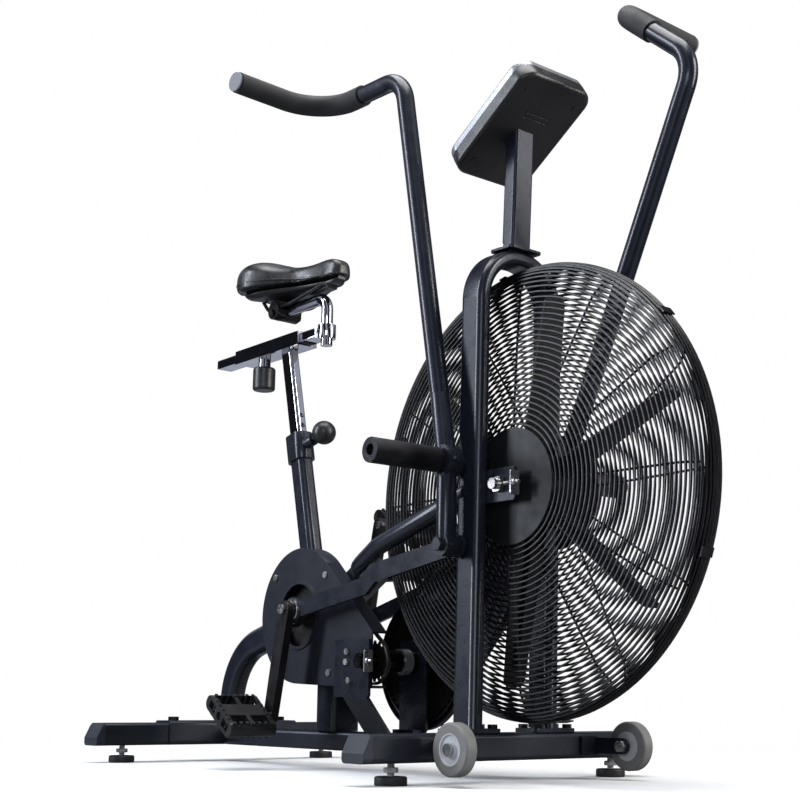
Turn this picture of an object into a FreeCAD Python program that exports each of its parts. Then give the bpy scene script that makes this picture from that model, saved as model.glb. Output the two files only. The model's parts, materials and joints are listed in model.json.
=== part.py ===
import FreeCAD, Part
import math
import os

V = FreeCAD.Vector

# Frame: +X from the saddle towards the fan, +Y to the rider's left, +Z up, floor at Z = 0.
# All lengths in mm. Shapes are drawn with X = 0 at the rear stabiliser and moved by SHIFT on export.
SHIFT = V(-571.0, 0, 0)

# ---- base ----
REAR_X = 0.0
FRONT_X = 799.0
STAB_LOW = 30.0
STAB_TOP = 70.0
STAB_HALF_WIDTH = 25.0
REAR_HALF_LENGTH = 268.0
FRONT_HALF_LENGTH = 272.0
CAP_LENGTH = 16.0
FOOT_Y = 221.0
FOOT_RADIUS = 23.0
RAIL_TOP = 62.0
RAIL_HALF_WIDTH = 25.0
SLEEVE_HALF_LENGTH = 140.0
WHEEL_X = 884.0
WHEEL_Y = 177.0
WHEEL_Z = 50.0
WHEEL_RADIUS = 37.0
WHEEL_HALF_WIDTH = 10.0

# ---- crank drive ----
BB = (326.0, 260.0)
PIVOT = (790.0, 469.0)
LEVER = 126.0
SWING = 38.5
LUG_REST = (PIVOT[0], PIVOT[1] - LEVER)
LUG_FAR = (
    PIVOT[0] - LEVER * math.sin(math.radians(SWING)),
    PIVOT[1] - LEVER * math.cos(math.radians(SWING)),
)
REACH_REST = math.dist(BB, LUG_REST)
REACH_FAR = math.dist(BB, LUG_FAR)
THROW = (REACH_REST - REACH_FAR) / 2
ROD_LENGTH = (REACH_REST + REACH_FAR) / 2
PIN = (
    BB[0] + THROW * (LUG_REST[0] - BB[0]) / REACH_REST,
    BB[1] + THROW * (LUG_REST[1] - BB[1]) / REACH_REST,
)
PEDAL = (BB[0] - 4.0, BB[1] - 173.0)
PEDAL_TILT = 36.0
PEDAL_TEETH = 7
SPINDLE_RADIUS = 10.0
RUNNING_CLEARANCE = 0.05
CRANK_INNER = (66.0, 84.0)
ROD_Y = (92.0, 100.0)
CRANK_OUTER = (104.0, 118.0)
PIN_RADIUS = 8.0

# ---- chains ----
CHAIN_PITCH = 12.7
RING_TEETH = 44
JACK_SMALL_TEETH = 16
JACK_LARGE_TEETH = 48
FAN_TEETH = 14
PRIMARY_Y = -46.0
SECONDARY_Y = 54.5
SPROCKET_THICKNESS = 3.0
CHAIN_WIDTH = 6.0
JACK = (527.0, 178.0)

# ---- covers ----
COVER_OUTER_Y = 62.0
COVER_INNER_Y = 32.0
COVER_WALL = 2.5
COVER_RADIUS = 118.0
COVER_NOSE_RADIUS = 44.0
COVER_HOLE_RADIUS = 60.0

# ---- fan and cage ----
FAN = (857.5, 431.0)
CAGE_RADIUS = 345.0
CAGE_FACE_WIRE = 1.8
CAGE_RIM_WIRE = 2.2
CAGE_FACE_RINGS = 25
CAGE_RIM_RINGS = 9
CAGE_SPOKES = 12
CAGE_SHOULDER = 306.0
CAGE_PROFILE = ((90.0, 47.0), (150.0, 44.5), (230.0, 39.5), (CAGE_SHOULDER, 33.0))
RIM_DEPTH = 30.0
DISC_RADIUS = 88.0
BLADE_COUNT = 6
BLADE_TIP_RADIUS = 298.0
BLADE_TURN = -21.0
FAN_HUB_RADIUS = 55.0
FAN_AXLE_RADIUS = 8.0

# ---- yoke, console ----
LEG_Y = 76.0
LEG_DEPTH = 50.0
LEG_THICKNESS = 24.0
LEG_X = 794.0
LEG_STRAIGHT_TOP = 726.0
LEG_LEAN = 1.27
CONSOLE_TILT = 32.0
CONSOLE_CENTRE = (822.0, 1028.0)
CONSOLE_WIDTH = 150.0
CONSOLE_HEIGHT = 208.0
CONSOLE_CORNER = 27.0
CONSOLE_BACK = 24.0
CONSOLE_FRONT = 14.0
BUTTON_COUNT = 3

# ---- handles ----
HANDLE_Y = 117.0
HANDLE_TUBE_RADIUS = 15.0
GRIP_RADIUS = 18.0
# Centre line from the knee up to the tip of the grip: forward, up and sideways from the pivot.
HANDLE_POINTS = (
    (-18.0, 105.0, -117.0),
    (-136.0, 668.0, -106.0),
    (-370.0, 680.0, -104.0),
    (-353.0, 677.0, -293.0),
)
HANDLE_BENDS = (58.0, 80.0)
GRIP_START = -247.0
PEG_Y = (134.0, 262.0)
PEG_RADIUS = 19.0
SHAFT_RADIUS = 10.0

# ---- seat ----
SEAT_TUBE_TOP = (217.0, 603.0)
SEAT_DIR = V(-0.2275, 0, 0.9738)
SEAT_TUBE_SIZE = (42.0, 31.0)
POST_SIZE = (32.0, 21.0)
POST_GAP = 0.4
POST_SHOWN = 192.0
POST_HIDDEN = 150.0
POST_HOLES = 7
SLIDER_X = (-63.0, 285.0)
SLIDER_Z = (779.0, 797.0)
SLIDER_HALF_WIDTH = 17.0
CARRIAGE_X = (14.0, 236.0)
CARRIAGE_WALL = 5.0
L_TUBE_X = 300.0
L_TUBE_RADIUS = 11.0
CLAMP = (156.0, 856.0)
RAIL_Y = 21.0
SADDLE_SECTIONS = (
    # x, half width, underside z, top z
    (92.0, 64.0, 890.0, 928.0),
    (110.0, 86.0, 882.0, 945.0),
    (148.0, 91.0, 879.0, 953.0),
    (195.0, 68.0, 882.0, 937.0),
    (245.0, 40.0, 882.0, 926.0),
    (300.0, 27.0, 880.0, 926.0),
    (338.0, 23.0, 878.0, 922.0),
    (354.0, 14.0, 884.0, 910.0),
)

os.makedirs("parts", exist_ok=True)


def export(name, *shapes):
    """Write one node, moved into the shared frame."""
    solids = []
    for shape in shapes:
        solids.extend(shape.Solids)
    node = solids[0] if len(solids) == 1 else Part.makeCompound(solids)
    node = node.copy()
    node.translate(SHIFT)
    node.exportStep("parts/" + name + ".step")


def mirrored(shape):
    """The same piece on the other side of the bike."""
    return shape.mirror(V(0, 0, 0), V(0, 1, 0))


def both(shape):
    return [shape, mirrored(shape)]


def box(x0, x1, y0, y1, z0, z1):
    return Part.makeBox(x1 - x0, y1 - y0, z1 - z0, V(x0, y0, z0))


def rounded_box(x0, x1, y0, y1, z0, z1, radius, axis):
    """A box with the four edges along one axis rounded."""
    body = box(x0, x1, y0, y1, z0, z1)
    edges = []
    for edge in body.Edges:
        along = edge.Vertexes[1].Point.sub(edge.Vertexes[0].Point)
        along.normalize()
        if abs(along.dot(axis)) > 0.9:
            edges.append(edge)
    return body.makeFillet(radius, edges)


def cyl_y(centre, y0, y1, radius):
    """A cylinder along Y, from y0 to y1, about an (x, z) centre."""
    low = min(y0, y1)
    return Part.makeCylinder(radius, abs(y1 - y0), V(centre[0], low, centre[1]), V(0, 1, 0))


def cyl_z(x, y, z0, z1, radius):
    return Part.makeCylinder(radius, z1 - z0, V(x, y, z0))


def ring_y(centre, y0, y1, outer, inner):
    return cyl_y(centre, y0, y1, outer).cut(cyl_y(centre, min(y0, y1) - 1, max(y0, y1) + 1, inner))


def hex_y(centre, y0, y1, across):
    """A hexagon head with its axis along Y."""
    low = min(y0, y1)
    corner = across / math.sqrt(3)
    points = []
    for k in range(7):
        angle = math.radians(60 * k)
        points.append(V(centre[0] + corner * math.cos(angle), low, centre[1] + corner * math.sin(angle)))
    return Part.Face(Part.makePolygon(points)).extrude(V(0, abs(y1 - y0), 0))


def hex_z(x, y, z0, z1, across):
    corner = across / math.sqrt(3)
    points = []
    for k in range(7):
        angle = math.radians(60 * k)
        points.append(V(x + corner * math.cos(angle), y + corner * math.sin(angle), z0))
    return Part.Face(Part.makePolygon(points)).extrude(V(0, 0, z1 - z0))


def link(a, ra, b, rb, y0, y1):
    """A flat bar along Y with a round end of each radius, its sides tangent to both."""
    dx = b[0] - a[0]
    dz = b[1] - a[1]
    gap = math.hypot(dx, dz)
    heading = math.atan2(dz, dx)
    spread = math.acos((ra - rb) / gap)
    low = min(y0, y1)

    def on(centre, radius, angle):
        return V(centre[0] + radius * math.cos(angle), low, centre[1] + radius * math.sin(angle))

    a_up = on(a, ra, heading + spread)
    a_low = on(a, ra, heading - spread)
    b_up = on(b, rb, heading + spread)
    b_low = on(b, rb, heading - spread)
    edges = [
        Part.makeLine(a_up, b_up),
        Part.Arc(b_up, on(b, rb, heading), b_low).toShape(),
        Part.makeLine(b_low, a_low),
        Part.Arc(a_low, on(a, ra, heading + math.pi), a_up).toShape(),
    ]
    return Part.Face(Part.Wire(edges)).extrude(V(0, abs(y1 - y0), 0))


def path(points, bends):
    """A wire through the points, its inner corners rounded by one radius or by one each."""
    if not isinstance(bends, (list, tuple)):
        bends = [bends] * len(points)
    edges = []
    last = points[0]
    for k in range(1, len(points) - 1):
        corner = points[k]
        radius = bends[k - 1]
        back = points[k - 1].sub(corner)
        ahead = points[k + 1].sub(corner)
        back.normalize()
        ahead.normalize()
        half_turn = (math.pi - back.getAngle(ahead)) / 2
        if half_turn < 0.005:
            continue
        reach = radius * math.tan(half_turn)
        start = corner.add(V(back).multiply(reach))
        end = corner.add(V(ahead).multiply(reach))
        inward = back.add(ahead)
        inward.normalize()
        middle = corner.add(inward.multiply(radius * (1 / math.cos(half_turn) - 1)))
        edges.append(Part.makeLine(last, start))
        edges.append(Part.Arc(start, middle, end).toShape())
        last = end
    edges.append(Part.makeLine(last, points[-1]))
    return Part.Wire(edges)


def swept_round(points, bend, radius):
    """A round bar along a rounded path."""
    heading = points[1].sub(points[0])
    profile = Part.Wire(Part.makeCircle(radius, points[0], heading))
    return path(points, bend).makePipeShell([profile], True, False)


def section_wire(centre, side, up, width, height, radius):
    """A rounded rectangle lying in the plane of two unit vectors."""
    def at(a, b):
        return centre.add(V(side).multiply(a)).add(V(up).multiply(b))

    w = width / 2
    h = height / 2
    c = radius * (1 - math.sqrt(0.5))
    r = radius
    return Part.Wire([
        Part.makeLine(at(-w + r, -h), at(w - r, -h)),
        Part.Arc(at(w - r, -h), at(w - c, -h + c), at(w, -h + r)).toShape(),
        Part.makeLine(at(w, -h + r), at(w, h - r)),
        Part.Arc(at(w, h - r), at(w - c, h - c), at(w - r, h)).toShape(),
        Part.makeLine(at(w - r, h), at(-w + r, h)),
        Part.Arc(at(-w + r, h), at(-w + c, h - c), at(-w, h - r)).toShape(),
        Part.makeLine(at(-w, h - r), at(-w, -h + r)),
        Part.Arc(at(-w, -h + r), at(-w + c, -h + c), at(-w + r, -h)).toShape(),
    ])


def swept_section(points, bend, side, width, height, radius):
    """A flat-oval tube along a planar path; side is the unit vector across the plane."""
    heading = points[1].sub(points[0])
    heading.normalize()
    up = side.cross(heading)
    profile = section_wire(points[0], side, up, width, height, radius)
    return path(points, bend).makePipeShell([profile], True, False)


def straight_section(start, end, side, width, height, radius):
    heading = end.sub(start)
    unit = V(heading)
    unit.normalize()
    profile = section_wire(start, side, side.cross(unit), width, height, radius)
    return Part.Face(profile).extrude(heading)


def pitch_radius(teeth):
    return CHAIN_PITCH / (2 * math.sin(math.pi / teeth))


def sprocket(centre, y_mid, teeth):
    """A flat toothed wheel for a roller chain."""
    radius = pitch_radius(teeth)
    low = y_mid - SPROCKET_THICKNESS / 2
    points = []
    for k in range(teeth):
        for part, reach in ((-0.28, -4.0), (-0.10, 1.4), (0.10, 1.4), (0.28, -4.0)):
            angle = 2 * math.pi * (k + part) / teeth
            points.append(V(
                centre[0] + (radius + reach) * math.cos(angle),
                low,
                centre[1] + (radius + reach) * math.sin(angle),
            ))
    points.append(points[0])
    return Part.Face(Part.makePolygon(points)).extrude(V(0, SPROCKET_THICKNESS, 0))


def chain_loop(a, a_teeth, b, b_teeth, y_mid):
    """The closed band of a chain running just outside the teeth of two sprockets."""
    ra = pitch_radius(a_teeth)
    rb = pitch_radius(b_teeth)
    low = y_mid - CHAIN_WIDTH / 2
    high = y_mid + CHAIN_WIDTH / 2
    band = link(a, ra + 6.0, b, rb + 6.0, low, high)
    return band.cut(link(a, ra + 2.0, b, rb + 2.0, low - 1, high + 1))


def cage_half_width(radius):
    """Distance of the face wires from the fan's mid plane, by radius."""
    for (r0, y0), (r1, y1) in zip(CAGE_PROFILE, CAGE_PROFILE[1:]):
        if radius <= r1:
            return y0 + (y1 - y0) * (radius - r0) / (r1 - r0)
    return CAGE_PROFILE[-1][1]


def cage_stations():
    """Radius, distance from the mid plane and wire radius of every ring of one basket."""
    stations = []
    first = CAGE_PROFILE[0][0] + 4
    step = (CAGE_SHOULDER - first) / CAGE_FACE_RINGS
    for k in range(CAGE_FACE_RINGS):
        radius = first + step * k
        stations.append((radius, cage_half_width(radius), CAGE_FACE_WIRE))
    # The rim turns over in a quarter ellipse of close-set, thicker wires.
    for k in range(CAGE_RIM_RINGS):
        angle = math.radians(90 * k / (CAGE_RIM_RINGS - 1))
        radius = CAGE_SHOULDER + (CAGE_RADIUS - CAGE_SHOULDER) * math.sin(angle)
        stations.append((radius, 3.0 + RIM_DEPTH * math.cos(angle), CAGE_RIM_WIRE))
    return stations


# ============================== base ==============================
def stabiliser(x, half_length):
    return rounded_box(
        x - STAB_HALF_WIDTH, x + STAB_HALF_WIDTH, -half_length, half_length,
        STAB_LOW, STAB_TOP, 7.0, V(0, 1, 0))


def stabiliser_caps(x, half_length):
    """Two moulded end caps that slope down to the floor side."""
    cap = rounded_box(
        x - STAB_HALF_WIDTH, x + STAB_HALF_WIDTH, half_length, half_length + CAP_LENGTH,
        STAB_LOW, STAB_TOP, 7.0, V(0, 1, 0))
    wedge = Part.Face(Part.makePolygon([
        V(x - 40, half_length + 3, STAB_TOP + 1),
        V(x - 40, half_length + CAP_LENGTH + 1, STAB_TOP + 1),
        V(x - 40, half_length + CAP_LENGTH + 1, STAB_LOW + 12),
        V(x - 40, half_length + 3, STAB_TOP + 1),
    ])).extrude(V(80, 0, 0))
    return both(cap.cut(wedge))


def levelling_feet():
    feet = []
    for x in (REAR_X, FRONT_X):
        pad = cyl_z(x, FOOT_Y, 0, 12, FOOT_RADIUS)
        pad = pad.makeFillet(3.0, [pad.Edges[0]])
        stem = cyl_z(x, FOOT_Y, 12, STAB_LOW, 5.0)
        nut = hex_z(x, FOOT_Y, 17, 24, 18.0).cut(cyl_z(x, FOOT_Y, 10, 40, 5.0))
        feet.extend(both(pad))
        feet.extend(both(stem.fuse(nut)))
    return feet


rear_bar = stabiliser(REAR_X, REAR_HALF_LENGTH)
front_bar = stabiliser(FRONT_X, FRONT_HALF_LENGTH)
export("rear_stabiliser", rear_bar)
end_caps = stabiliser_caps(REAR_X, REAR_HALF_LENGTH) + stabiliser_caps(FRONT_X, FRONT_HALF_LENGTH)
export("end_caps", *end_caps)
export("levelling_feet", *levelling_feet())

sleeve = rounded_box(
    REAR_X - 29, REAR_X + 29, -SLEEVE_HALF_LENGTH, SLEEVE_HALF_LENGTH,
    STAB_LOW, STAB_TOP + 4, 8.0, V(0, 1, 0)).cut(rear_bar)
rail = rounded_box(
    REAR_X + 29, FRONT_X - STAB_HALF_WIDTH, -RAIL_HALF_WIDTH, RAIL_HALF_WIDTH,
    STAB_LOW, RAIL_TOP, 6.0, V(1, 0, 0))
base = sleeve.fuse(rail).removeSplitter()
export("base_rail", base)

frame_bolts = []
for y in (-118, 118):
    frame_bolts.append(hex_z(REAR_X, y, STAB_TOP + 4, STAB_TOP + 11, 17.0))

# ---- transport wheels ----
wheel_centre = (WHEEL_X, WHEEL_Z)
inner_y = WHEEL_Y - WHEEL_HALF_WIDTH - 6
wheel_arm = box(FRONT_X + STAB_HALF_WIDTH, WHEEL_X, inner_y - 4, inner_y, 38, 62)
wheel_arm = wheel_arm.fuse(cyl_y(wheel_centre, inner_y - 4, inner_y, 12))
wheel_arm = wheel_arm.fuse(box(
    FRONT_X + STAB_HALF_WIDTH, FRONT_X + STAB_HALF_WIDTH + 5, inner_y - 34, inner_y, 36, 64))
wheel_arm = wheel_arm.cut(cyl_y(wheel_centre, inner_y - 10, inner_y + 10, 5.0))
export("front_stabiliser", front_bar.fuse(both(wheel_arm)).removeSplitter())
wheel_bolt = cyl_y(wheel_centre, inner_y - 10, WHEEL_Y + WHEEL_HALF_WIDTH + 1, 4.95)
wheel_bolt = wheel_bolt.fuse(cyl_y(
    wheel_centre, WHEEL_Y + WHEEL_HALF_WIDTH + 1, WHEEL_Y + WHEEL_HALF_WIDTH + 5, 9.0))
wheel_bolt = wheel_bolt.fuse(hex_y(wheel_centre, inner_y - 12, inner_y - 4, 16.0))
frame_bolts.extend(both(wheel_bolt))
hub = ring_y(
    wheel_centre, WHEEL_Y - WHEEL_HALF_WIDTH, WHEEL_Y + WHEEL_HALF_WIDTH, 22.0, 4.95 + RUNNING_CLEARANCE)
hub = hub.cut(ring_y(wheel_centre, WHEEL_Y + WHEEL_HALF_WIDTH - 2.5, WHEEL_Y + 20, 20.0, 11.0))
tyre = ring_y(
    wheel_centre, WHEEL_Y - WHEEL_HALF_WIDTH, WHEEL_Y + WHEEL_HALF_WIDTH, WHEEL_RADIUS, 22.0)
rims = []
for edge in tyre.Edges:
    if edge.Curve.TypeId == "Part::GeomCircle" and abs(edge.Curve.Radius - WHEEL_RADIUS) < 0.01:
        rims.append(edge)
wheel_left = Part.makeCompound([hub, tyre.makeFillet(3.5, rims)])
export("wheel_left", wheel_left)
export("wheel_right", mirrored(wheel_left))

# ============================== main frame ==============================
ACROSS = V(0, 1, 0)
bb_shell = cyl_y(BB, -31, 31, 30.0)
post_box = rounded_box(334, 390, -28, 28, RAIL_TOP, 246, 8.0, V(0, 0, 1)).cut(bb_shell)
export("centre_post", post_box)

arch = swept_section([V(12, 0, STAB_TOP + 2), V(20, 0, 198), V(320, 0, 278)], 120, ACROSS, 36, 50, 15)
arch = arch.cut(base).cut(bb_shell).cut(post_box)
arch = max(arch.Solids, key=lambda part: part.Volume)
export("rear_arch", arch)

seat_foot = V(SEAT_TUBE_TOP[0], 0, SEAT_TUBE_TOP[1]).sub(V(SEAT_DIR).multiply(322))
seat_top = V(SEAT_TUBE_TOP[0], 0, SEAT_TUBE_TOP[1])
seat_tube = straight_section(seat_foot, seat_top, ACROSS, SEAT_TUBE_SIZE[1], SEAT_TUBE_SIZE[0], 12)
post_bore = straight_section(
    seat_top.sub(V(SEAT_DIR).multiply(POST_HIDDEN + 125)), seat_top.add(V(SEAT_DIR).multiply(10)),
    ACROSS, POST_SIZE[1] + 2 * POST_GAP, POST_SIZE[0] + 2 * POST_GAP, 6)
seat_tube = seat_tube.cut(post_bore).cut(bb_shell).cut(arch)
seat_tube = max(seat_tube.Solids, key=lambda part: part.Volume)

bb_shell = bb_shell.cut(cyl_y(BB, -40, 40, 20.0))
bearings = []
for side in (-1, 1):
    bearings.append(ring_y(BB, side * 18, side * 31, 20.0, SPINDLE_RADIUS + RUNNING_CLEARANCE))
export("bottom_bracket", bb_shell, *bearings)

spine = straight_section(V(338, 0, 268), V(462, 0, 338), ACROSS, 56, 42, 8)
spine = spine.cut(cyl_y(BB, -40, 40, 30.0)).cut(seat_tube).cut(arch).cut(post_box)
spine = max(spine.Solids, key=lambda part: part.Volume)
side_tube = swept_round(
    [V(440, -14, 330), V(506, -66, 333), V(572, -LEG_Y, 362), V(800, -LEG_Y, 428)], 60, 15.0)

# ---- collar and pull pin on the seat tube ----
collar_low = seat_top.sub(V(SEAT_DIR).multiply(52))
collar = straight_section(collar_low, seat_top, ACROSS, SEAT_TUBE_SIZE[1] + 9, SEAT_TUBE_SIZE[0] + 9, 15)
collar = collar.cut(straight_section(
    collar_low.sub(V(SEAT_DIR).multiply(2)), seat_top.add(V(SEAT_DIR).multiply(2)),
    ACROSS, SEAT_TUBE_SIZE[1], SEAT_TUBE_SIZE[0], 12))
PIN_DIR = V(SEAT_DIR.z, 0, -SEAT_DIR.x)
pin_root = seat_top.sub(V(SEAT_DIR).multiply(24))


def along_pin(start, end, radius):
    base = pin_root.add(V(PIN_DIR).multiply(start))
    return Part.makeCylinder(radius, end - start, base, PIN_DIR)


pin_boss = along_pin(POST_SIZE[0] / 2 + 8, 46, 11.0).cut(along_pin(0, 80, 6.05))
tube_solid = straight_section(seat_foot, seat_top, ACROSS, SEAT_TUBE_SIZE[1], SEAT_TUBE_SIZE[0], 12)
pin_boss = pin_boss.cut(tube_solid)
collar = collar.cut(along_pin(0, 80, 11.0)).fuse(pin_boss).removeSplitter()
seat_tube = seat_tube.cut(along_pin(POST_SIZE[0] / 2 - 2, 80, 6.05))
export("seat_tube", seat_tube, collar)
seat_pin = along_pin(POST_SIZE[0] / 2 + 1.2, 64, 6.0)
ball = Part.makeSphere(22.0, pin_root.add(V(PIN_DIR).multiply(79))).cut(along_pin(50, 64, 6.0))
export("seat_pull_pin", seat_pin, ball)

# ============================== yoke ==============================
yoke = swept_section(
    [V(LEG_X, -LEG_Y, STAB_TOP + 6), V(LEG_X, -LEG_Y, LEG_STRAIGHT_TOP + LEG_Y),
     V(LEG_X, LEG_Y, LEG_STRAIGHT_TOP + LEG_Y), V(LEG_X, LEG_Y, STAB_TOP + 6)],
    LEG_Y - 0.5, V(1, 0, 0), LEG_DEPTH, LEG_THICKNESS, 10)
LEAN_CENTRE = V(LEG_X, 0, STAB_TOP + 6)
yoke.rotate(LEAN_CENTRE, V(0, 1, 0), LEG_LEAN)
yoke = yoke.cut(box(700, 900, -200, 200, 0, STAB_TOP + 6))
shaft_hole = cyl_y(PIVOT, 40, 300, SHAFT_RADIUS)
yoke = yoke.cut(shaft_hole).cut(mirrored(shaft_hole))
spine_and_tubes = spine.fuse([side_tube, mirrored(side_tube)]).cut(yoke)
spine_and_tubes = max(spine_and_tubes.Solids, key=lambda part: part.Volume)
export("upper_frame", spine_and_tubes.removeSplitter())
leg_plate = rounded_box(FRONT_X - 24, FRONT_X + 24, -120, -34, STAB_TOP, STAB_TOP + 6, 6.0, V(0, 0, 1))
for y in (-110, -44):
    for x in (FRONT_X - 14, FRONT_X + 14):
        frame_bolts.extend(both(hex_z(x, y, STAB_TOP + 6, STAB_TOP + 12, 13.0)))

# ---- pivot shafts, pegs ----
LEG_INNER_Y = LEG_Y - LEG_THICKNESS / 2
shaft = cyl_y(PIVOT, -LEG_INNER_Y + 12, -PEG_Y[0], SHAFT_RADIUS)
shaft = shaft.fuse(cyl_y(PIVOT, -PEG_Y[0], -PEG_Y[1] + 8, SHAFT_RADIUS - 2))
shaft_nut = hex_y(PIVOT, -LEG_INNER_Y + 12, -LEG_INNER_Y, 26.0)
export("pivot_shafts", *both(shaft.fuse(shaft_nut)))
peg = ring_y(PIVOT, -PEG_Y[0] - 2, -PEG_Y[1], PEG_RADIUS, SHAFT_RADIUS - 2)
export("foot_pegs", *both(peg))

# ============================== fan ==============================
PLATE_FRONT = 888.0
STAND_OFF_X = 805.0
STAND_OFF_RISE = 50.0


def axle_bracket():
    """A short plate standing forward from the leg, with a slot for the axle."""
    plate = rounded_box(814, PLATE_FRONT, -70, -65, FAN[1] - 25, FAN[1] + 25, 4.0, V(0, 1, 0))
    plate = plate.cut(yoke).cut(cyl_y(FAN, -80, -50, FAN_AXLE_RADIUS + RUNNING_CLEARANCE))
    return max(plate.Solids, key=lambda part: part.Volume)


def stand_off(rise):
    """A stud on the inner face of the leg that holds the cage disc."""
    return cyl_y((STAND_OFF_X, FAN[1] + rise), -LEG_INNER_Y, -50.2, 5.0).cut(yoke)


def chain_tug(edge, centre_z, start):
    """Chain adjuster on the end of a plate: an end plate, a stud along X and its nut."""
    middle = -74.5
    end_plate = rounded_box(edge + 0.02, edge + 3, -80, -63, centre_z - 18, centre_z + 18, 2.0, V(1, 0, 0))
    stud = Part.makeCylinder(3.0, edge + 15 - start, V(start, middle, centre_z), V(1, 0, 0))
    nut = Part.makeCylinder(5.8, 5.5, V(edge + 3, middle, centre_z), V(1, 0, 0))
    return end_plate.fuse([stud, nut]).removeSplitter()


# The chain takes the place of the lower stud on the left.
export(
    "axle_brackets", *both(axle_bracket()), *both(stand_off(STAND_OFF_RISE)), stand_off(-STAND_OFF_RISE))
frame_bolts.extend(both(chain_tug(PLATE_FRONT, FAN[1], FAN[0] + 14)))
fan_axle = cyl_y(FAN, -88, 88, FAN_AXLE_RADIUS)
for side in (-1, 1):
    fan_axle = fan_axle.fuse(hex_y(FAN, side * 71, side * 79, 22.0))
fan_hub = ring_y(FAN, -36, 36, FAN_HUB_RADIUS, FAN_AXLE_RADIUS)
for side in (-1, 1):
    fan_hub = fan_hub.cut(ring_y(FAN, side * 24, side * 40, FAN_HUB_RADIUS - 5, 20.0))
export("fan_hub", fan_hub)


def fan_blade(angle):
    """A flat paddle standing out from the hub, narrower at the tip to follow the cage."""
    outline = Part.makePolygon([
        V(FAN_HUB_RADIUS + 0.1, -34, 0), V(BLADE_TIP_RADIUS - 10, -21, 0), V(BLADE_TIP_RADIUS, -14, 0),
        V(BLADE_TIP_RADIUS, 14, 0), V(BLADE_TIP_RADIUS - 10, 21, 0), V(FAN_HUB_RADIUS + 0.1, 34, 0),
        V(FAN_HUB_RADIUS + 0.1, -34, 0),
    ])
    blade = Part.Face(outline).extrude(V(0, 0, 2.5))
    blade.translate(V(0, 0, -1.25))
    rib = box(FAN_HUB_RADIUS + 0.1, BLADE_TIP_RADIUS - 30, -3, 3, 1.25, 9)
    blade = blade.fuse(rib).cut(cyl_y((0, 0), -50, 50, FAN_HUB_RADIUS))
    blade.rotate(V(0, 0, 0), V(0, 1, 0), angle)
    blade.translate(V(FAN[0], 0, FAN[1]))
    return blade


blades = []
for k in range(BLADE_COUNT):
    blades.append(fan_blade(360.0 * k / BLADE_COUNT + BLADE_TURN))
export("fan_blades", *blades)

# ---- cage: one wire basket per side, a centre disc, and clips round the rim ----
def cage_rings():
    rings = []
    for radius, half_width, wire in cage_stations():
        corners = []
        for side in range(7):
            angle = math.radians(60 * side)
            corners.append(V(radius + wire * math.cos(angle), -half_width + wire * math.sin(angle), 0))
        ring = Part.Face(Part.makePolygon(corners)).revolve(V(0, 0, 0), V(0, 1, 0), 360)
        ring.translate(V(FAN[0], 0, FAN[1]))
        rings.append(ring)
    return rings


def cage_spokes():
    """Radial wires lying against the inner side of the rings."""
    spokes = []
    inset = CAGE_FACE_WIRE + CAGE_RIM_WIRE + 0.3
    points = [V(r, -y + inset, 0) for r, y in CAGE_PROFILE]
    points.append(V(332.0, -14.0, 0))
    spoke = swept_round(points, 25, CAGE_FACE_WIRE)
    for k in range(CAGE_SPOKES):
        turned = spoke.copy()
        turned.rotate(V(0, 0, 0), V(0, 1, 0), 360.0 * k / CAGE_SPOKES)
        turned.translate(V(FAN[0], 0, FAN[1]))
        spokes.append(turned)
    return spokes


rings = cage_rings()
spokes = cage_spokes()
export("cage_right", *rings, *spokes)
export("cage_left", *[mirrored(wire) for wire in rings + spokes])
disc = ring_y(FAN, -50, -46.5, DISC_RADIUS, 12.0)
export("cage_discs", *both(disc))
clips = []
for angle in (20, 80, 140, 200, 260, 320):
    clip = box(CAGE_RADIUS + CAGE_RIM_WIRE + 0.05, CAGE_RADIUS + 4.5, -12, 12, -7, 7)
    clip.rotate(V(0, 0, 0), V(0, 1, 0), angle)
    clip.translate(V(FAN[0], 0, FAN[1]))
    clips.append(clip)
export("cage_clips", *clips)

# ============================== drive ==============================
export("crank_spindle", cyl_y(BB, -CRANK_INNER[0], CRANK_INNER[0], SPINDLE_RADIUS))
ring_gear = sprocket(BB, PRIMARY_Y, RING_TEETH).cut(cyl_y(BB, -60, -30, SPINDLE_RADIUS))
for k in range(5):
    angle = math.radians(72 * k + 18)
    dish = (BB[0] + 54 * math.cos(angle), BB[1] + 54 * math.sin(angle))
    ring_gear = ring_gear.cut(cyl_y(dish, -60, PRIMARY_Y - 0.5, 17.0))
export("chainring", ring_gear)


def crank_set():
    """Right-hand eccentric arm with its pin, outer crank arm, and the screws on them."""
    inner = link(BB, 21.0, PIN, 17.0, -CRANK_INNER[1], -CRANK_INNER[0])
    pin = cyl_y(PIN, -CRANK_INNER[1], -CRANK_OUTER[0], PIN_RADIUS)
    outer = link(PIN, 15.0, PEDAL, 13.0, -CRANK_OUTER[1], -CRANK_OUTER[0])
    outer = outer.cut(cyl_y(PEDAL, -130, -90, 7.0))
    bolt = hex_y(PIN, -CRANK_OUTER[1] - 6, -CRANK_OUTER[1], 16.0)
    return inner, pin, outer, bolt


def half_turn(shape):
    """The left-hand crank piece: mirrored and half a turn on."""
    other = mirrored(shape)
    other.rotate(V(BB[0], 0, BB[1]), V(0, 1, 0), 180)
    return other


inner_arm, rod_pin, outer_arm, pin_bolt = crank_set()
export("crank_arms", inner_arm, half_turn(inner_arm), outer_arm, half_turn(outer_arm))


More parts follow.
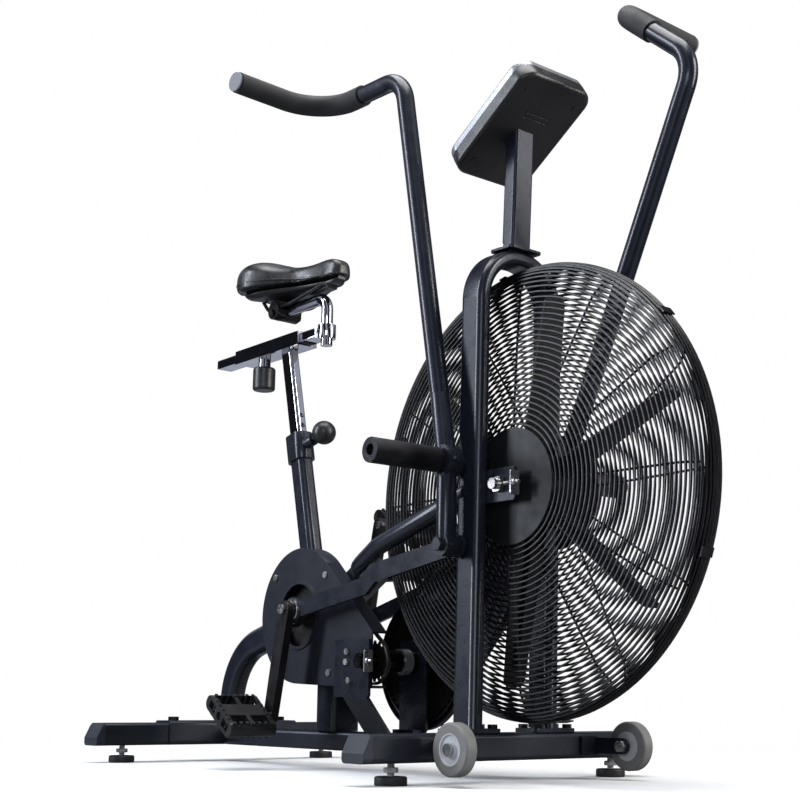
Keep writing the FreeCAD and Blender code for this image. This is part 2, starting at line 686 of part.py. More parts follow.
def pedal():
    """A cage pedal and its axle, on the right-hand crank."""
    y0 = -CRANK_OUTER[1] - 8
    y1 = y0 - 88
    axle = cyl_y(PEDAL, -CRANK_OUTER[0], y1 + 6, 6.95)
    body = rounded_box(PEDAL[0] - 48, PEDAL[0] + 48, y1, y0, PEDAL[1] - 13, PEDAL[1] + 13, 12.0, V(0, 1, 0))
    for x0, x1 in ((-40, -15), (15, 40)):
        for ya, yb in ((y1 + 8, y1 + 40), (y1 + 48, y0 - 8)):
            body = body.cut(box(PEDAL[0] + x0, PEDAL[0] + x1, ya, yb, PEDAL[1] - 20, PEDAL[1] + 20))
    for x0, x1 in ((-36, -14), (14, 36)):
        body = body.cut(rounded_box(
            PEDAL[0] + x0, PEDAL[0] + x1, y1 - 5, y0 + 5, PEDAL[1] - 7, PEDAL[1] + 7, 3.0, V(0, 1, 0)))
    teeth = []
    for x in (-38, 38):
        for k in range(PEDAL_TEETH):
            y = y1 + 8 + (y0 - y1 - 16) * k / (PEDAL_TEETH - 1)
            teeth.append(Part.makeCone(3.2, 1.2, 31.0, V(PEDAL[0] + x, y, PEDAL[1] - 15.5), V(0, 0, 1)))
            teeth.append(Part.makeCone(1.2, 3.2, 31.0, V(PEDAL[0] + x, y, PEDAL[1] - 15.5), V(0, 0, 1)))
    for y in (y1 + 4, y0 - 4):
        for x in (-24, -12, 0, 12, 24):
            teeth.append(Part.makeCone(2.6, 1.2, 30.0, V(PEDAL[0] + x, y, PEDAL[1] - 15.0), V(0, 0, 1)))
            teeth.append(Part.makeCone(1.2, 2.6, 30.0, V(PEDAL[0] + x, y, PEDAL[1] - 15.0), V(0, 0, 1)))
    body = body.fuse(teeth)
    body = body.cut(cyl_y(PEDAL, y1 - 5, y0 + 5, 6.95 + RUNNING_CLEARANCE)).removeSplitter()
    body = max(body.Solids, key=lambda part: part.Volume)
    body.rotate(V(PEDAL[0], 0, PEDAL[1]), V(0, 1, 0), PEDAL_TILT)
    return axle, body


pedal_axle, pedal_body = pedal()
export("pedal_right", pedal_body)
export("pedal_left", half_turn(pedal_body))
pins = [rod_pin, pin_bolt, pedal_axle]
export("crank_pins", *pins, *[half_turn(pin) for pin in pins])


def push_rod(pin, lug, sign):
    """A flat bar with an eye on the crank pin, a jog in the middle and a boss at the lever."""
    length = math.dist(pin, lug)
    ux = (lug[0] - pin[0]) / length
    uz = (lug[1] - pin[1]) / length
    y0, y1 = sorted((sign * ROD_Y[0], sign * ROD_Y[1]))

    def at(s, t):
        return V(pin[0] + ux * s - uz * t, y0, pin[1] + uz * s + ux * t)

    corners = [
        at(0, 13), at(200, 8), at(228, 24), at(length - 14, 16), at(length, 15),
        at(length, -13), at(length - 14, -12), at(236, -7), at(208, -21), at(0, -15), at(0, 13),
    ]
    bar = Part.Face(Part.makePolygon(corners)).extrude(V(0, y1 - y0, 0))
    bar = bar.fuse(cyl_y(pin, y0, y1, 22.0)).fuse(cyl_y(lug, y0, y1, 18.0))
    return bar.cut(cyl_y(pin, y0 - 5, y1 + 5, PIN_RADIUS + RUNNING_CLEARANCE)).removeSplitter()


left_pin = (2 * BB[0] - PIN[0], 2 * BB[1] - PIN[1])
export("push_rod_right", push_rod(PIN, LUG_REST, -1))
export("push_rod_left", push_rod(left_pin, LUG_FAR, 1))

# ---- second shaft ----
jack_axle = cyl_y(JACK, -82, 66, 10.0)
jack_axle = jack_axle.fuse(hex_y(JACK, -80, -70, 24.0))
jack_hub = ring_y(JACK, -39, 33, 18.5, 10.0).fuse(ring_y(JACK, 3, 20, 21.5, 10.0))
export("jack_shaft", jack_axle, jack_hub.removeSplitter())
small = sprocket(JACK, PRIMARY_Y, JACK_SMALL_TEETH).cut(cyl_y(JACK, -60, -30, 10.0))
large = sprocket(JACK, SECONDARY_Y, JACK_LARGE_TEETH).fuse(cyl_y(JACK, 41, SECONDARY_Y, 20.0))
export("jack_sprockets", small, large.cut(cyl_y(JACK, 30, 70, 10.0)))
fan_gear = sprocket(FAN, SECONDARY_Y, FAN_TEETH).fuse(cyl_y(FAN, 51.5, SECONDARY_Y, 16.0))
export("fan_axle", fan_axle, fan_gear.cut(cyl_y(FAN, 40, 70, FAN_AXLE_RADIUS)))
export(
    "chains",
    chain_loop(BB, RING_TEETH, JACK, JACK_SMALL_TEETH, PRIMARY_Y),
    chain_loop(JACK, JACK_LARGE_TEETH, FAN, FAN_TEETH, SECONDARY_Y))

# ---- brackets that carry the second shaft ----
JACK_PLATE_FRONT = JACK[0] + 14.0
jack_hole = cyl_y(JACK, -90, 90, 10.0 + RUNNING_CLEARANCE)
right_plate = rounded_box(446, JACK_PLATE_FRONT, -69, -64, 120, 214, 4.0, V(0, 1, 0))
web = Part.Face(Part.makePolygon([
    V(474, -69, 126), V(474, -64, 126), V(474, -64, 121), V(474, -17, RAIL_TOP),
    V(474, -24.5, RAIL_TOP), V(474, -69, 118), V(474, -69, 126),
])).extrude(V(JACK_PLATE_FRONT - 4 - 474, 0, 0))
right_plate = right_plate.fuse(web)
right_plate = right_plate.cut(jack_hole).removeSplitter()
left_plate = rounded_box(492, 562, 34, 39, RAIL_TOP, 214, 8.0, V(0, 1, 0))
left_plate = left_plate.fuse(box(500, 554, 14, 36, RAIL_TOP, RAIL_TOP + 6))
export("jack_brackets", right_plate, left_plate.cut(jack_hole).removeSplitter())
for x, z in ((484, 194), (482, 177), (490, 147)):
    frame_bolts.append(hex_y((x, z), -74, -69, 10.0))
frame_bolts.append(chain_tug(JACK_PLATE_FRONT, JACK[1], JACK[0] + 15))

# ---- chain covers ----
def cover_shell(a, ra, b, rb, y_open, y_face, wall):
    """A shallow pan: flat outer face, side wall, open towards the frame."""
    low, high = sorted((y_open, y_face))
    pan = link(a, ra, b, rb, low, high)
    inner_low, inner_high = (low + wall, high + 1) if abs(low) > abs(high) else (low - 1, high - wall)
    return pan.cut(link(a, ra - wall, b, rb - wall, inner_low, inner_high))


right_cover = cover_shell(
    BB, COVER_RADIUS, JACK, COVER_NOSE_RADIUS, -COVER_INNER_Y, -COVER_OUTER_Y, COVER_WALL)
right_cover = right_cover.cut(cyl_y(BB, -80, -50, COVER_HOLE_RADIUS - 6)).cut(cyl_y(JACK, -80, -50, 14.0))
# The nose is open in front, where the chain and the hub come out, and slotted for the shaft.
right_cover = right_cover.cut(box(JACK_PLATE_FRONT - 1, JACK[0] + 100, -80, 0, 60, 300))
right_cover = right_cover.cut(box(JACK[0], JACK[0] + 100, -80, -50, JACK[1] - 12, JACK[1] + 12))
lip = ring_y(BB, -COVER_OUTER_Y, -COVER_OUTER_Y - 3, COVER_HOLE_RADIUS, COVER_HOLE_RADIUS - 6)
export("chain_cover_right", right_cover.fuse(lip).removeSplitter())
for x, z in ((404, 326), (250, 330), (250, 186), (420, 160)):
    frame_bolts.append(cyl_y((x, z), -COVER_OUTER_Y - 2.5, -COVER_OUTER_Y, 6.0))
left_guard = cover_shell(JACK, 112.0, FAN, 42.0, 51.0, 60.8, 1.8)
left_guard = left_guard.cut(cyl_y(JACK, 56, 70, 14.0)).cut(cyl_y(FAN, 56, 70, 12.0))
left_guard = left_guard.cut(box(800, 920, 45, 70, 470, 520))
export("chain_guard_left", left_guard)

# ============================== handles ==============================
def from_pivot(point):
    return V(PIVOT[0] + point[0], point[2], PIVOT[1] + point[1])


def handle():
    """Right handle in its rearmost position: lever arm, tube, grip, end cap, lever bolt."""
    foot = V(LUG_REST[0], -HANDLE_Y, LUG_REST[1])
    knee = from_pivot(HANDLE_POINTS[0])
    axle = V(PIVOT[0], -HANDLE_Y, PIVOT[1])
    arm = swept_round([foot, axle, knee], 80, 15.2)
    arm = arm.fuse(cyl_y(PIVOT, -HANDLE_Y - 14, -HANDLE_Y + 14, 24.0))
    arm = arm.fuse(cyl_y(LUG_REST, -HANDLE_Y - 12, -HANDLE_Y + 15.5, 17.0))
    arm = arm.cut(cyl_y(PIVOT, -160, -80, SHAFT_RADIUS + RUNNING_CLEARANCE))
    points = [from_pivot(p) for p in HANDLE_POINTS]
    tube = swept_round(points, HANDLE_BENDS, HANDLE_TUBE_RADIUS).cut(arm)
    tube = max(tube.Solids, key=lambda part: part.Volume)
    share = (GRIP_START - HANDLE_POINTS[1][0]) / (HANDLE_POINTS[2][0] - HANDLE_POINTS[1][0])
    start = points[1].add(points[2].sub(points[1]).multiply(share))
    grip = swept_round([start, points[2], points[3]], HANDLE_BENDS[1], GRIP_RADIUS).cut(tube)
    grip = max(grip.Solids, key=lambda part: part.Volume)
    outward = points[3].sub(points[2])
    outward.normalize()
    cap = Part.makeCylinder(GRIP_RADIUS - 1.5, 6.0, points[3], outward)
    bolt = hex_y(LUG_REST, -HANDLE_Y - 20, -HANDLE_Y - 12, 18.0)
    return Part.makeCompound([arm, bolt]), tube, Part.makeCompound([grip, cap])


for name, piece in zip(("handle_arm", "handle_tube", "handle_grip"), handle()):
    export(name + "_right", piece)
    other = piece.copy()
    other.rotate(V(PIVOT[0], 0, PIVOT[1]), V(0, 1, 0), SWING)
    export(name + "_left", mirrored(other))

# ============================== seat ==============================
post_low = seat_top.sub(V(SEAT_DIR).multiply(POST_HIDDEN))
post_top = seat_top.add(V(SEAT_DIR).multiply(POST_SHOWN))
seat_post = straight_section(post_low, post_top, ACROSS, POST_SIZE[1], POST_SIZE[0], 5.6)
for k in range(POST_HOLES):
    hole = along_pin(2, 40, 4.5)
    hole.translate(V(SEAT_DIR).multiply(20.0 * k - 60))
    seat_post = seat_post.cut(hole)
SLIDE_GAP = 0.4
KNOB_X = 89.0
channel_floor = SLIDER_Z[0] - SLIDE_GAP
carriage_base = channel_floor - CARRIAGE_WALL
channel_half = SLIDER_HALF_WIDTH + SLIDE_GAP
carriage_half = channel_half + CARRIAGE_WALL
carriage = box(*CARRIAGE_X, -carriage_half, carriage_half, carriage_base, SLIDER_Z[1] + SLIDE_GAP + 3)
carriage = carriage.cut(box(
    CARRIAGE_X[0] - 1, CARRIAGE_X[1] + 1, -channel_half, channel_half, channel_floor, SLIDER_Z[1] + SLIDE_GAP))
carriage = carriage.cut(box(CARRIAGE_X[0] - 1, CARRIAGE_X[1] + 1, -10, 10, SLIDER_Z[1], SLIDER_Z[1] + 10))
carriage = carriage.fuse(cyl_z(KNOB_X, 0, carriage_base - 16, carriage_base, 12.0))
carriage = carriage.cut(cyl_z(KNOB_X, 0, 700, channel_floor + 1, 5.05))
seat_post = seat_post.cut(box(50, 300, -60, 60, carriage_base, 900))
export("seat_post", seat_post)
export("slider_carriage", carriage.removeSplitter())
knob_top = carriage_base - 16.5
knob_pin = cyl_z(KNOB_X, 0, knob_top - 14, channel_floor - 0.6, 5.0)
knob = cyl_z(KNOB_X, 0, knob_top - 46, knob_top, 22.0)
knob = knob.makeFillet(5.0, [knob.Edges[0], knob.Edges[2]]).cut(knob_pin)
export("slider_pull_pin", knob_pin, knob)

slider = rounded_box(
    SLIDER_X[0], SLIDER_X[1], -SLIDER_HALF_WIDTH, SLIDER_HALF_WIDTH, SLIDER_Z[0], SLIDER_Z[1], 2.0, V(1, 0, 0))
slider = slider.fuse(cyl_z(L_TUBE_X, 0, SLIDER_Z[0] - 4, SLIDER_Z[1] + 4, 17.0))
slider = slider.cut(cyl_z(L_TUBE_X, 0, 700, 900, L_TUBE_RADIUS))
l_tube = swept_round(
    [V(L_TUBE_X, 0, 762), V(L_TUBE_X, 0, CLAMP[1]), V(CLAMP[0] - 26, 0, CLAMP[1])], 26, L_TUBE_RADIUS)
export("saddle_slider", slider.removeSplitter(), l_tube)
clamp = cyl_y(CLAMP, -27, 27, 18.0).fuse(box(CLAMP[0] - 15, CLAMP[0] + 15, -25, 25, CLAMP[1], CLAMP[1] + 17))
clamp = clamp.cut(l_tube)
wires = []
for y in (-RAIL_Y, RAIL_Y):
    wires.append(swept_round(
        [V(112, y, 881), V(130, y, CLAMP[1] + 5), V(206, y, CLAMP[1] + 5), V(312, y * 0.6, 880)], 14, 3.5))
for wire in wires:
    clamp = clamp.cut(wire)
clamp = max(clamp.Solids, key=lambda part: part.Volume)
export("saddle_clamp", clamp, *both(hex_y((CLAMP[0], CLAMP[1] - 6), -34, -27, 13.0)))


def saddle_loft(lift_low, lift_high, inset):
    """A closed body through the saddle sections, between two heights measured from them."""
    sections = []
    for x, half, low, top in SADDLE_SECTIONS:
        w = half - inset
        z0 = lift_low(low, top)
        z1 = lift_high(low, top)
        points = [
            V(x, -w, z0 + (z1 - z0) * 0.42), V(x, -w * 0.93, z0 + (z1 - z0) * 0.08), V(x, -w * 0.5, z0),
            V(x, 0, z0), V(x, w * 0.5, z0), V(x, w * 0.93, z0 + (z1 - z0) * 0.08),
            V(x, w, z0 + (z1 - z0) * 0.42), V(x, w * 0.82, z0 + (z1 - z0) * 0.84),
            V(x, w * 0.42, z1), V(x, 0, z1 - 0.5), V(x, -w * 0.42, z1), V(x, -w * 0.82, z0 + (z1 - z0) * 0.84),
        ]
        curve = Part.BSplineCurve()
        curve.interpolate(points, PeriodicFlag=True)
        sections.append(Part.Wire(curve.toShape()))
    return Part.makeLoft(sections, True, False)


pad = saddle_loft(lambda low, top: low + 6, lambda low, top: top, 0)
shell = saddle_loft(lambda low, top: low - 3, lambda low, top: low + 5.0, 5)
nose_keel = Part.Face(Part.makePolygon([
    V(200, -13, 883), V(328, -13, 883), V(322, -13, 869.5), V(258, -13, 869.5), V(200, -13, 883),
])).extrude(V(0, 26, 0))
shell = shell.fuse(nose_keel)
shell = shell.cut(pad)
for wire in wires:
    shell = shell.cut(wire)
shell = max(shell.Solids, key=lambda part: part.Volume)
pad = pad.cut(shell)
export("saddle_pad", pad)
export("saddle_shell", shell)
trimmed = []
for wire in wires:
    trimmed.append(wire.cut(pad))
export("saddle_rails", *trimmed)

# ============================== console ==============================
post_base = V(816, 0, 812)
post_end = V(826, 0, 1012)
console_post = straight_section(post_base, post_end, ACROSS, 40, 27, 5).cut(yoke)
console_post = max(console_post.Solids, key=lambda part: part.Volume)
TILT = math.radians(CONSOLE_TILT)
SLOPE = V(math.cos(TILT), 0, math.sin(TILT))
FACING = V(-math.sin(TILT), 0, math.cos(TILT))
console_origin = V(CONSOLE_CENTRE[0], 0, CONSOLE_CENTRE[1])


def console_slab(low, high, width, height, radius, up_slope=0.0, across=0.0):
    """A rounded slab on the console, measured along its facing direction."""
    centre = console_origin.add(V(FACING).multiply(low)).add(V(SLOPE).multiply(up_slope))
    centre = centre.add(V(0, across, 0))
    profile = section_wire(centre, ACROSS, SLOPE, width, height, radius)
    return Part.Face(profile).extrude(V(FACING).multiply(high - low))


case_back = console_slab(-CONSOLE_BACK, 0, CONSOLE_WIDTH, CONSOLE_HEIGHT, CONSOLE_CORNER)
console_post = console_post.cut(case_back)
console_post = max(console_post.Solids, key=lambda part: part.Volume)
export("console_post", console_post)
back_edges = []
for edge in case_back.Edges:
    if (edge.CenterOfMass.sub(console_origin)).dot(FACING) < -CONSOLE_BACK + 0.5:
        back_edges.append(edge)
case_back = case_back.makeFillet(7.0, back_edges)
case_front = console_slab(0, CONSOLE_FRONT, CONSOLE_WIDTH - 1, CONSOLE_HEIGHT - 1, CONSOLE_CORNER - 0.5)
front_edges = []
for edge in case_front.Edges:
    if (edge.CenterOfMass.sub(console_origin)).dot(FACING) > CONSOLE_FRONT - 0.5:
        front_edges.append(edge)
case_front = case_front.makeFillet(4.0, front_edges)
case_front = case_front.cut(console_slab(CONSOLE_FRONT - 3, CONSOLE_FRONT + 5, 104, 84, 6, 24))
screen = console_slab(CONSOLE_FRONT - 3, CONSOLE_FRONT - 1, 103.6, 83.6, 5.8, 24)
export("console_screen", screen)
for k in range(BUTTON_COUNT):
    across = (k - (BUTTON_COUNT - 1) / 2) * 28
    case_front = case_front.cut(console_slab(CONSOLE_FRONT - 6, CONSOLE_FRONT + 5, 22, 14, 5, -44, across))
    button = console_slab(CONSOLE_FRONT - 3.4, CONSOLE_FRONT + 1.6, 21.2, 13.2, 4.6, -44, across)
    export("console_button_" + str(k + 1), button)
export("console_front", case_front)
screws = []
for across in (-52, 52):
    for up_slope in (-72, 72):
        screws.append(console_slab(-CONSOLE_BACK - 1.2, -CONSOLE_BACK, 7, 7, 3.4, up_slope, across))
export("console_back", case_back, *screws)
post_plate = rounded_box(790, 842, -34, 34, 0, 4, 8.0, V(0, 0, 1))
post_plate.translate(V(0, 0, 812.5))
post_plate.rotate(V(816, 0, 812), V(0, 1, 0), LEG_LEAN)
post_plate = post_plate.cut(yoke).cut(console_post)
post_plate = max(post_plate.Solids, key=lambda part: part.Volume)
export("fan_yoke", yoke.fuse(both(leg_plate)).fuse(post_plate).removeSplitter())
for y in (-26, 26):
    bolt = hex_z(816, y, 816.6, 822, 10.0)
    bolt.rotate(V(816, 0, 812), V(0, 1, 0), LEG_LEAN)
    frame_bolts.append(bolt)
export("frame_bolts", *frame_bolts)
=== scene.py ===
import json
import math

import bmesh
import bpy
from mathutils import Matrix, Vector


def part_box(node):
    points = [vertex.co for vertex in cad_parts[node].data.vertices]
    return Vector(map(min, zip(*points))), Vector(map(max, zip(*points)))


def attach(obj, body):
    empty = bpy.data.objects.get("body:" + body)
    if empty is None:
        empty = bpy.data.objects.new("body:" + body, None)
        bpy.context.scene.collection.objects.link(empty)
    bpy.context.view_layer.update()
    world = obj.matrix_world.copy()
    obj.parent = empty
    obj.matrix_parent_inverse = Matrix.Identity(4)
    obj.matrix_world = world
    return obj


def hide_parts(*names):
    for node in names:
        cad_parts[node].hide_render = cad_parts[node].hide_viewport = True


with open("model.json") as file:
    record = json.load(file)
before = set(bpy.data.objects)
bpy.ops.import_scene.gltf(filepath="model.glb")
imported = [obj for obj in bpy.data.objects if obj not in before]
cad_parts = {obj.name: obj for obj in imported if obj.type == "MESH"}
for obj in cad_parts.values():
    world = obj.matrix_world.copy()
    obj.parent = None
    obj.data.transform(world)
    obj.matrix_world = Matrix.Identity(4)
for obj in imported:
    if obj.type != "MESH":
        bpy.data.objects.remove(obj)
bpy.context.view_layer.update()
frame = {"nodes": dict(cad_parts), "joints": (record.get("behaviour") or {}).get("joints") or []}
NODES = frame["nodes"]

# ---------------------------------------------------------------- materials


def new_material(name):
    """An empty node material with its shader and the object's own coordinates."""
    material = bpy.data.materials.new(name)
    material.use_nodes = True
    tree = material.node_tree
    shader = tree.nodes["Principled BSDF"]
    place = tree.nodes.new("ShaderNodeTexCoord")
    return material, tree, shader, place


def noise(tree, place, scale, detail=4.0, stretch=None):
    """A noise texture on object coordinates, stretched along an axis if asked."""
    node = tree.nodes.new("ShaderNodeTexNoise")
    node.inputs["Scale"].default_value = scale
    node.inputs["Detail"].default_value = detail
    source = place.outputs["Object"]
    if stretch:
        mapping = tree.nodes.new("ShaderNodeMapping")
        mapping.inputs["Scale"].default_value = stretch
        tree.links.new(source, mapping.inputs["Vector"])
        source = mapping.outputs["Vector"]
    tree.links.new(source, node.inputs["Vector"])
    return node


def ramp(tree, source, low, high, start=0.35, end=0.65):
    """A colour or grey ramp between two values, driven by a texture."""
    node = tree.nodes.new("ShaderNodeValToRGB")
    node.color_ramp.elements[0].position = start
    node.color_ramp.elements[1].position = end
    node.color_ramp.elements[0].color = low
    node.color_ramp.elements[1].color = high
    tree.links.new(source, node.inputs["Fac"])
    return node


def grey(value):
    """An opaque grey."""
    return (value, value, value, 1.0)


def bump(tree, shader, source, strength, distance):
    """Fine relief on the shader, driven by a texture."""
    node = tree.nodes.new("ShaderNodeBump")
    node.inputs["Strength"].default_value = strength
    node.inputs["Distance"].default_value = distance
    tree.links.new(source, node.inputs["Height"])
    tree.links.new(node.outputs["Normal"], shader.inputs["Normal"])


def surface(
        name, dark, light, rough, metallic=0.0, grain=900.0, height=0.05, coat=0.0, patch=9.0, stretch=None):
    """A finish whose colour and roughness wander a little, with a fine grain on top."""
    material, tree, shader, place = new_material(name)
    shader.inputs["Metallic"].default_value = metallic
    shader.inputs["Coat Weight"].default_value = coat
    shader.inputs["Coat Roughness"].default_value = 0.12
    wander = noise(tree, place, patch, 5.0, stretch)
    tint = ramp(tree, wander.outputs["Fac"], (*dark, 1.0), (*light, 1.0))
    tree.links.new(tint.outputs["Color"], shader.inputs["Base Color"])
    wear = noise(tree, place, patch * 5.0, 6.0, stretch)
    shine = ramp(tree, wear.outputs["Fac"], grey(rough[0]), grey(rough[1]), 0.3, 0.7)
    tree.links.new(shine.outputs["Color"], shader.inputs["Roughness"])
    fine = noise(tree, place, grain, 2.0, stretch)
    bump(tree, shader, fine.outputs["Fac"], height, 0.0004)
    return material


def measure(tree, place, centre, keep):
    """Distance from a point, counted only along the axes that are kept."""
    mapping = tree.nodes.new("ShaderNodeMapping")
    mapping.vector_type = "POINT"
    mapping.inputs["Location"].default_value = [-c * k for c, k in zip(centre, keep)]
    mapping.inputs["Scale"].default_value = keep
    tree.links.new(place.outputs["Object"], mapping.inputs["Vector"])
    length = tree.nodes.new("ShaderNodeVectorMath")
    length.operation = "LENGTH"
    tree.links.new(mapping.outputs["Vector"], length.inputs[0])
    return length.outputs["Value"]


def split(tree, shader, distance, limit, inner, outer):
    """Two tints, one on each side of a distance; each is the colour output of a node."""
    beyond = tree.nodes.new("ShaderNodeMath")
    beyond.operation = "GREATER_THAN"
    beyond.inputs[1].default_value = limit
    tree.links.new(distance, beyond.inputs[0])
    mix = tree.nodes.new("ShaderNodeMix")
    mix.data_type = "RGBA"
    tree.links.new(beyond.outputs["Value"], mix.inputs["Factor"])
    tree.links.new(inner, mix.inputs["A"])
    tree.links.new(outer, mix.inputs["B"])
    tree.links.new(mix.outputs["Result"], shader.inputs["Base Color"])
    return beyond.outputs["Value"]


def two_tone(name, centre, keep, limit, inner, outer, rough, height=0.1, grain=1200.0):
    """A moulded piece whose middle and rim are different pieces of material."""
    material, tree, shader, place = new_material(name)
    wander = noise(tree, place, 30.0)
    tints = [
        ramp(tree, wander.outputs["Fac"], (*dark, 1.0), (*light, 1.0)).outputs["Color"]
        for dark, light in (inner, outer)
    ]
    split(tree, shader, measure(tree, place, centre, keep), limit, *tints)
    shine = ramp(tree, wander.outputs["Fac"], grey(rough[0]), grey(rough[1]))
    tree.links.new(shine.outputs["Color"], shader.inputs["Roughness"])
    fine = noise(tree, place, grain, 2.0)
    bump(tree, shader, fine.outputs["Fac"], height, 0.0004)
    return material


def foam(name, tip):
    """Closed-cell grip foam: matt, with a pebbled skin, and a grey plug in its end."""
    material, tree, shader, place = new_material(name)
    wander = noise(tree, place, 24.0)
    tint = ramp(tree, wander.outputs["Fac"], (0.010, 0.010, 0.011, 1), (0.020, 0.020, 0.022, 1))
    plug = ramp(tree, wander.outputs["Fac"], (0.16, 0.17, 0.19, 1), (0.22, 0.23, 0.25, 1))
    split(
        tree, shader, measure(tree, place, (0, 0, 0), (0, 1, 0)), tip,
        tint.outputs["Color"], plug.outputs["Color"])
    shine = ramp(tree, wander.outputs["Fac"], grey(0.62), grey(0.78))
    tree.links.new(shine.outputs["Color"], shader.inputs["Roughness"])
    cells = tree.nodes.new("ShaderNodeTexVoronoi")
    cells.inputs["Scale"].default_value = 700.0
    tree.links.new(place.outputs["Object"], cells.inputs["Vector"])
    bump(tree, shader, cells.outputs["Distance"], 0.35, 0.0006)
    return material


def knurl(name):
    """Black anodised metal with a crossed knurl."""
    material, tree, shader, place = new_material(name)
    shader.inputs["Metallic"].default_value = 0.75
    wander = noise(tree, place, 30.0)
    tint = ramp(tree, wander.outputs["Fac"], (0.012, 0.012, 0.014, 1), (0.03, 0.03, 0.034, 1))
    tree.links.new(tint.outputs["Color"], shader.inputs["Base Color"])
    shine = ramp(tree, wander.outputs["Fac"], grey(0.34), grey(0.5))
    tree.links.new(shine.outputs["Color"], shader.inputs["Roughness"])
    total = None
    for slant in (1.0, -1.0):
        mapping = tree.nodes.new("ShaderNodeMapping")
        mapping.inputs["Rotation"].default_value = (slant * math.pi / 4, 0, 0)
        tree.links.new(place.outputs["Object"], mapping.inputs["Vector"])
        wave = tree.nodes.new("ShaderNodeTexWave")
        wave.bands_direction = "Y"
        wave.inputs["Scale"].default_value = 150.0
        tree.links.new(mapping.outputs["Vector"], wave.inputs["Vector"])
        if total is None:
            total = wave
        else:
            mix = tree.nodes.new("ShaderNodeMath")
            mix.operation = "MAXIMUM"
            tree.links.new(total.outputs["Fac"], mix.inputs[0])
            tree.links.new(wave.outputs["Fac"], mix.inputs[1])
            bump(tree, shader, mix.outputs["Value"], 0.5, 0.0006)
    return material


def vinyl(name):
    """Smooth black saddle cover with a soft grain."""
    material, tree, shader, place = new_material(name)
    wander = noise(tree, place, 14.0)
    tint = ramp(tree, wander.outputs["Fac"], (0.010, 0.010, 0.011, 1), (0.02, 0.02, 0.022, 1))
    tree.links.new(tint.outputs["Color"], shader.inputs["Base Color"])
    wear = noise(tree, place, 60.0)
    shine = ramp(tree, wear.outputs["Fac"], grey(0.26), grey(0.42))
    tree.links.new(shine.outputs["Color"], shader.inputs["Roughness"])
    cells = tree.nodes.new("ShaderNodeTexVoronoi")
    cells.feature = "SMOOTH_F1"
    cells.inputs["Scale"].default_value = 520.0
    tree.links.new(place.outputs["Object"], cells.inputs["Vector"])
    bump(tree, shader, cells.outputs["Distance"], 0.16, 0.0004)
    return material


COAT = surface(
    "frame_powder_coat", (0.011, 0.013, 0.021), (0.018, 0.021, 0.032), (0.24, 0.34),
    0.25, 1300.0, 0.03, 0.15)
STAB_COAT = surface(
    "base_powder_coat", (0.010, 0.012, 0.019), (0.017, 0.020, 0.030), (0.32, 0.44),
    0.2, 1300.0, 0.03, 0.05)
COVER = surface(
    "cover_plastic", (0.008, 0.010, 0.016), (0.014, 0.016, 0.025), (0.38, 0.50), 0.0, 1500.0, 0.06)
CAP = surface("cap_plastic", (0.018, 0.022, 0.031), (0.028, 0.033, 0.044), (0.42, 0.55), 0.0, 1300.0, 0.10)
CAGE = surface(
    "cage_gloss_coat", (0.003, 0.003, 0.004), (0.006, 0.006, 0.008), (0.30, 0.42),
    0.0, 700.0, 0.02, 0.0, 30.0)
CAGE.node_tree.nodes["Principled BSDF"].inputs["Specular IOR Level"].default_value = 0.3
SHEET = surface("fan_sheet_coat", (0.006, 0.007, 0.008), (0.012, 0.013, 0.015), (0.34, 0.48), 0.1, 900.0, 0.05)
DARK_STEEL = surface(
    "black_oxide_steel", (0.014, 0.014, 0.015), (0.032, 0.031, 0.032), (0.28, 0.42), 0.7, 900.0, 0.05)
for finish, level in ((COAT, 0.34), (STAB_COAT, 0.30), (COVER, 0.22), (CAP, 0.30), (SHEET, 0.22)):
    finish.node_tree.nodes["Principled BSDF"].inputs["Specular IOR Level"].default_value = level
STEEL = surface(
    "zinc_steel", (0.36, 0.36, 0.37), (0.52, 0.51, 0.50), (0.20, 0.34), 1.0, 1200.0, 0.04, 0.0, 40.0)
CHROME = surface(
    "chrome_plate", (0.50, 0.50, 0.54), (0.62, 0.62, 0.66), (0.04, 0.10), 1.0, 500.0, 0.01, 0.0, 14.0)
TYRE_TINTS = ((0.155, 0.152, 0.148), (0.200, 0.196, 0.190))
HUB_TINTS = ((0.42, 0.43, 0.45), (0.54, 0.55, 0.57))
RUBBER_TINTS = ((0.010, 0.010, 0.010), (0.020, 0.020, 0.020))
ZINC_TINTS = ((0.30, 0.30, 0.31), (0.44, 0.43, 0.42))
PLASTIC = surface(
    "black_plastic", (0.008, 0.008, 0.009), (0.015, 0.015, 0.017), (0.30, 0.44), 0.0, 1400.0, 0.10)
SILVER = surface("silver_case", (0.26, 0.27, 0.29), (0.34, 0.35, 0.37), (0.26, 0.36), 0.5, 1400.0, 0.04)
SCREEN = surface(
    "display_window", (0.03, 0.036, 0.034), (0.042, 0.05, 0.046), (0.04, 0.1), 0.0, 300.0, 0.01, 0.6)
BUTTON = surface("button_rubber", (0.10, 0.10, 0.11), (0.14, 0.14, 0.15), (0.5, 0.62), 0.0, 900.0, 0.1)
CHAIN = surface(
    "oiled_chain", (0.05, 0.045, 0.04), (0.11, 0.10, 0.09), (0.28, 0.45), 0.9, 900.0, 0.1, 0.0, 60.0)
PEG = knurl("knurled_peg")
BLACK_TINTS = ((0.014, 0.014, 0.015), (0.032, 0.031, 0.032))
BRIGHT_TINTS = ((0.40, 0.40, 0.41), (0.55, 0.54, 0.53))
BOLT = two_tone("mixed_bolts", (0, 0, 0.079), (0, 0, 1), 0.012, BLACK_TINTS, BRIGHT_TINTS, (0.22, 0.36), 0.05)
BOLT.node_tree.nodes["Principled BSDF"].inputs["Metallic"].default_value = 0.9
RING_TINTS = ((0.75, 0.76, 0.78), (0.86, 0.86, 0.88))
